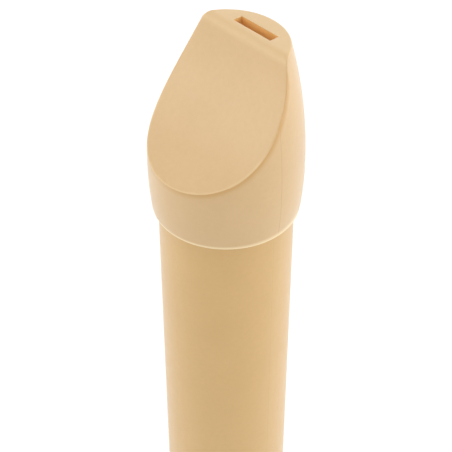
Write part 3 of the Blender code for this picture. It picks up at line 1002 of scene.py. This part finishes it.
def cap_painted_light(place):
    """How much painted highlight (up to 1) or painted shade (down to -1) the cap's plastic gets at a place.

    The lip's rounding, the flat top and the low part of the cut's edge are painted paler, as painted light.
    The high part of that edge and the side just under it are painted deeper, as painted shade."""
    height = place.z - LIP
    radius = math.hypot(place.x, place.y)
    if height < LIP_ROUNDING:
        return 1.0 if radius > RIM_RADIUS - LIP_ROUNDING * LIP_HIGHLIGHT_SHARE else 0.0
    side = cap_radius(height)
    if place.y < ROUND_STOP_Y + NEAR and height > top_height(place.y) - TOP_EDGE_ROUNDING / 2:
        return FLAT_TOP_PAINTED_LIGHT
    start = share_of(place.y, ROUND_STOP_Y, ROUND_STOP_Y + RIM_SHADE_START)
    if radius < side - CUT_EDGE_ROUNDING or start == 0:
        return 0.0
    under = math.hypot(place.y - CUT_CENTRE.x, height - CUT_CENTRE.y) - CUT_RADIUS
    if radius > side - SEAM_DEPTH * 2 and under > CUT_EDGE_ROUNDING / 2:
        share = RIM_SHADE_BACK - (RIM_SHADE_SIDE - RIM_SHADE_BACK) * place.x / CAP_WIDEST_RADIUS
        strength = RIM_SHADE_EASE * (1 - under / RIM_SHADE_DEPTH)
        return -start * share * min(max(strength, 0), 1)
    deep = share_of(height, *EDGE_FADE)
    return start * (LOW_EDGE_HIGHLIGHT * (1 - deep) + HIGH_EDGE_SHADE * deep)


def in_windway(place):
    """Whether a place is on the walls of the cap's windway slot."""
    across = abs(place.x) < WINDWAY_HALF + NEAR
    deep = -ROOF_TOP - NEAR < place.y < -FLOOR_TOP + NEAR
    return across and deep and LIP < place.z < CAP_TOP - SLOT_EDGE


def mark_lines(piece, painted_light_at):
    """Stores where the parting lines, the painted highlights and painted shade, and the windway's painted
    glow are, for the plastic's material.
    """
    mesh = piece.data
    seam = mesh.attributes.new("seam", "FLOAT", "POINT")
    painted_light = mesh.attributes.new("painted_light", "FLOAT", "POINT")
    for vert in mesh.vertices:
        place = vert.co / MM
        outside = abs(place.x) > SEAM_LEAST_RADIUS and abs(vert.normal.x) > SEAM_LEAST_FACING
        on_line = abs(place.y) < SAME_LINE and outside
        seam.data[vert.index].value = 1.0 if on_line else 0.0
        painted_light.data[vert.index].value = painted_light_at(place) if painted_light_at else 0.0
    # Faces of the windway slot's walls, which get a painted glow standing in for light bouncing inside the
    # slot.
    inner = mesh.attributes.new("inner", "FLOAT", "FACE")
    for face in mesh.polygons:
        inner.data[face.index].value = 1.0 if in_windway(face.center / MM) else 0.0


def finish_shading(piece):
    piece.data.shade_smooth()
    piece.data.set_sharp_from_angle(angle=SHARP_ANGLE)
    weighted = piece.modifiers.new("even_shading", "WEIGHTED_NORMAL")
    weighted.keep_sharp = True


class Nodes:
    """Adds nodes to a material and links them."""

    def __init__(self, tree):
        self.tree = tree

    def add(self, kind, values=None, **settings):
        node = self.tree.nodes.new(kind)
        for key, value in settings.items():
            setattr(node, key, value)
        for key, value in (values or {}).items():
            if isinstance(value, bpy.types.NodeSocket):
                self.tree.links.new(value, node.inputs[key])
            else:
                node.inputs[key].default_value = value
        return node

    def math(self, operation, first, second=0.0):
        return self.add("ShaderNodeMath", {0: first, 1: second}, operation=operation).outputs[0]

    def noise(self, where, size, detail=2.0, roughness=0.5):
        """Noise from 0 to 1, whose spots are about size millimetres wide."""
        values = {"Vector": where, "Scale": 1 / (size * MM), "Detail": detail, "Roughness": roughness}
        return self.add("ShaderNodeTexNoise", values).outputs["Fac"]

    def ramp(self, value, low, high, out_low=0.0, out_high=1.0):
        values = {"Value": value, "From Min": low, "From Max": high, "To Min": out_low, "To Max": out_high}
        return self.add("ShaderNodeMapRange", values).outputs["Result"]

    def mix(self, factor, first, second):
        """A mix of two colours. The numbers are those of the node's colour sockets."""
        values = {0: factor, 6: first, 7: second}
        return self.add("ShaderNodeMix", values, data_type="RGBA").outputs[2]

    def attribute(self, name):
        return self.add("ShaderNodeAttribute", attribute_name=name).outputs["Fac"]

    def bump(self, height, distance, **inputs):
        """Relief whose height is distance millimetres."""
        values = {"Height": height, "Strength": 1.0, "Distance": distance * MM, **inputs}
        return self.add("ShaderNodeBump", values).outputs["Normal"]


def new_material(name):
    made = bpy.data.materials.new(name)
    made.use_nodes = True
    nodes = Nodes(made.node_tree)
    shader = made.node_tree.nodes["Principled BSDF"]
    return made, nodes, shader


def cream_plastic(name, colour, sheen):
    """Satin moulded plastic: faint mottling, fine grain, slow waviness, dark parting lines, and painted
    highlights, painted shade and a painted glow where the mesh marks them.
    """
    made, nodes, shader = new_material(name)
    where = nodes.add("ShaderNodeTexCoord").outputs["Object"]
    light = (*[part * LIGHT_SHARE for part in colour], 1)
    dark = (*[part * share for part, share in zip(colour, DARK_SHARES)], 1)
    cloud = nodes.noise(where, CLOUD_SIZE, detail=3)
    speck = nodes.noise(where, SPECK_SIZE, detail=4, roughness=0.6)
    cloud = nodes.math("MULTIPLY", cloud, CLOUD_SHARE)
    speck = nodes.math("MULTIPLY", speck, 1 - CLOUD_SHARE)
    base = nodes.mix(nodes.ramp(nodes.math("ADD", cloud, speck), *NOISE_RANGE), dark, light)
    line = (*[part * share for part, share in zip(colour, SEAM_SHARES)], 1)
    base = nodes.mix(nodes.math("MULTIPLY", nodes.attribute("seam"), SEAM_STRENGTH), base, line)
    # Painted highlight and painted shade on the cap, where the mesh marks them.
    painted_light = nodes.attribute("painted_light")
    base = nodes.mix(nodes.ramp(painted_light, 0, 1), base, (*PAINTED_HIGHLIGHT_COLOUR, 1))
    base = nodes.mix(nodes.ramp(painted_light, 0, -1), base, (*PAINTED_SHADE_COLOUR, 1))
    # The windway slot's walls get a painted glow of light bouncing inside the slot.
    base = nodes.mix(nodes.attribute("inner"), base, (*WINDWAY_PAINTED_LIGHT, 1))
    grain = nodes.noise(where, GRAIN_SIZE)
    wave = nodes.noise(where, WAVE_SIZE, detail=1)
    relief = nodes.bump(wave, WAVE_HEIGHT, Normal=nodes.bump(grain, GRAIN_HEIGHT))
    gloss = nodes.ramp(nodes.noise(where, GLOSS_SIZE, detail=3), *NOISE_RANGE, *ROUGHNESS)
    links = made.node_tree.links
    links.new(base, shader.inputs["Base Color"])
    links.new(gloss, shader.inputs["Roughness"])
    links.new(relief, shader.inputs["Normal"])
    shader.inputs["IOR"].default_value = 1.5
    shader.inputs["Specular IOR Level"].default_value = 0.4
    shader.inputs["Sheen Weight"].default_value = sheen
    shader.inputs["Sheen Roughness"].default_value = 0.4
    shader.inputs["Subsurface Weight"].default_value = 0.06
    shader.inputs["Subsurface Radius"].default_value = (1.0, 0.7, 0.4)
    shader.inputs["Subsurface Scale"].default_value = 1.2 * MM
    return made


def cork_material():
    """Fine-grained cork: granules of mixed brown with dark pores between them."""
    made, nodes, shader = new_material("cork_grain")
    where = nodes.add("ShaderNodeTexCoord").outputs["Object"]
    spots = {"Vector": where, "Scale": 1 / (GRANULE_SIZE * MM)}
    cells = nodes.add("ShaderNodeTexVoronoi", spots)
    edges = nodes.add("ShaderNodeTexVoronoi", spots, feature="DISTANCE_TO_EDGE")
    border = edges.outputs["Distance"]
    shade = nodes.add("ShaderNodeSeparateColor", {"Color": cells.outputs["Color"]}).outputs[0]
    base = nodes.mix(shade, (*CORK_DARK, 1), (*CORK_LIGHT, 1))
    pores = nodes.ramp(nodes.noise(where, PORE_SIZE, detail=3, roughness=0.7), *PORE_RANGE)
    base = nodes.mix(pores, base, (*PORE_COLOUR, 1))
    gaps = nodes.ramp(border, 0, GAP_WIDTH, GAP_STRENGTH, 0)
    base = nodes.mix(gaps, base, (*GAP_COLOUR, 1))
    height = nodes.math("SUBTRACT", nodes.ramp(border, 0, GAP_SLOPE), pores)
    links = made.node_tree.links
    links.new(base, shader.inputs["Base Color"])
    links.new(nodes.bump(height, CORK_RELIEF), shader.inputs["Normal"])
    links.new(nodes.ramp(shade, 0, 1, *CORK_ROUGHNESS), shader.inputs["Roughness"])
    return made


def camera_axes():
    """The camera's right, up and back directions."""
    back = Vector((
        math.sin(CAMERA_AZIMUTH) * math.cos(CAMERA_PITCH),
        -math.cos(CAMERA_AZIMUTH) * math.cos(CAMERA_PITCH),
        math.sin(CAMERA_PITCH),
    ))
    right = Vector((math.cos(CAMERA_AZIMUTH), math.sin(CAMERA_AZIMUTH), 0))
    return right, back.cross(right), back


def make_camera():
    """A camera that sees the lip's centre at its pixel, with the picture upright."""
    data = bpy.data.cameras.new("photo_camera")
    data.sensor_width = SENSOR_WIDTH
    data.lens = FOCAL_PIXELS / PHOTO_SIZE * SENSOR_WIDTH
    data.clip_start, data.clip_end = CLIP_RANGE
    right, up, back = camera_axes()
    across = (LIP_CENTRE_PIXEL[0] - PHOTO_SIZE / 2) / FOCAL_PIXELS * LIP_DISTANCE
    down = (LIP_CENTRE_PIXEL[1] - PHOTO_SIZE / 2) / FOCAL_PIXELS * LIP_DISTANCE
    place = Vector((0, 0, LIP)) + back * LIP_DISTANCE - right * across + up * down
    camera = bpy.data.objects.new("photo_camera", data)
    camera.matrix_world = Matrix.Translation(place * MM) @ Matrix((right, up, back)).transposed().to_4x4()
    bpy.context.scene.collection.objects.link(camera)
    bpy.context.scene.camera = camera


def seen_rays(nodes):
    """1 for rays from the camera and for mirror and glass rays, else 0."""
    path = nodes.add("ShaderNodeLightPath")
    seen = nodes.math("MAXIMUM", path.outputs["Is Camera Ray"], path.outputs["Is Glossy Ray"])
    return nodes.math("MAXIMUM", seen, path.outputs["Is Transmission Ray"])


def make_world():
    world = bpy.data.worlds.new("white_studio")
    world.use_nodes = True
    bpy.context.scene.world = world
    nodes = Nodes(world.node_tree)
    background = world.node_tree.nodes["Background"]
    background.inputs["Color"].default_value = (1, 1, 1, 1)
    seen = seen_rays(nodes)
    strength = nodes.add("ShaderNodeMapRange", {"Value": seen, "To Min": WORLD_STRENGTH, "To Max": 1.0})
    world.node_tree.links.new(strength.outputs["Result"], background.inputs["Strength"])


def make_floor():
    """A wide pale floor, which looks white to the camera and still takes the object's shadow."""
    shape = Shape()
    half = FLOOR_HALF
    corners = shape.row([(-half, -half, 0), (half, -half, 0), (half, half, 0), (-half, half, 0)])
    shape.faces.append(tuple(corners))
    floor = shape.build("studio_floor")
    made, nodes, shader = new_material("pale_floor")
    shader.inputs["Base Color"].default_value = (FLOOR_GREY, FLOOR_GREY, FLOOR_GREY, 1)
    shader.inputs["Roughness"].default_value = 0.9
    shader.inputs["Specular IOR Level"].default_value = 0.0
    shader.inputs["Emission Color"].default_value = (1, 1, 1, 1)
    where = nodes.add("ShaderNodeTexCoord").outputs["Object"]
    away = nodes.add("ShaderNodeVectorMath", {0: where}, operation="LENGTH").outputs["Value"]
    level = nodes.ramp(away, FLOOR_LIFT_START * MM, FLOOR_HALF * MM, *FLOOR_LIFT)
    lift = nodes.math("MULTIPLY", seen_rays(nodes), level)
    made.node_tree.links.new(lift, shader.inputs["Emission Strength"])
    floor.data.materials.append(made)


def make_lamps():
    """Lamps stand round the beak, at a turn and a height seen from the camera's side."""
    aim = Vector((0, 0, LIP * MM))
    for name, turn, height, power in LAMPS:
        azimuth = CAMERA_AZIMUTH + math.radians(turn)
        level = math.radians(height)
        away = Vector((
            math.sin(azimuth) * math.cos(level),
            -math.cos(azimuth) * math.cos(level),
            math.sin(level),
        ))
        data = bpy.data.lights.new(name, "AREA")
        data.shape = "DISK"
        data.size = LAMP_SIZE
        data.energy = power
        lamp = bpy.data.objects.new(name, data)
        lamp.location = aim + away * LAMP_DISTANCE
        lamp.rotation_euler = away.to_track_quat("Z", "Y").to_euler()
        bpy.context.scene.collection.objects.link(lamp)


def place_piece(piece, node, body, material, painted_light_at=None):
    piece.data.materials.clear()
    piece.data.materials.append(material)
    mark_lines(piece, painted_light_at)
    finish_shading(piece)
    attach(piece, body)
    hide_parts(node)


make_camera()
make_world()
make_floor()
make_lamps()

plastic = cream_plastic("satin_cream_plastic", PLASTIC, SHEEN)
# The cap's own copy of the plastic, painted paler to stand in for the brighter light on it.
cap_painted_light_plastic = cream_plastic("cap_painted_light_cream_plastic", CAP_PAINTED_LIGHT_PLASTIC, CAP_SHEEN)
inner_plastic = cream_plastic("inner_cream_plastic", BLOCK_PLASTIC, SHEEN)
cork = cork_material()

place_piece(make_cap(), "mouthpiece_cap", "head", cap_painted_light_plastic, cap_painted_light)
place_piece(make_head(), "head_tube", "head", plastic)
place_piece(make_block(), "block", "head", inner_plastic)
place_piece(make_middle(), "middle_joint", "middle", plastic)
place_piece(make_foot(), "foot_joint", "foot", plastic)
upper_ring = make_cork("upper_cork_ring", UPPER_CORK, UPPER_COLLAR)
place_piece(upper_ring, "upper_tenon_cork", "upper_cork", cork)
lower_ring = make_cork("lower_cork_ring", LOWER_CORK, LOWER_COLLAR)
place_piece(lower_ring, "lower_tenon_cork", "lower_cork", cork)

bpy.context.scene.view_settings.view_transform = "Standard"
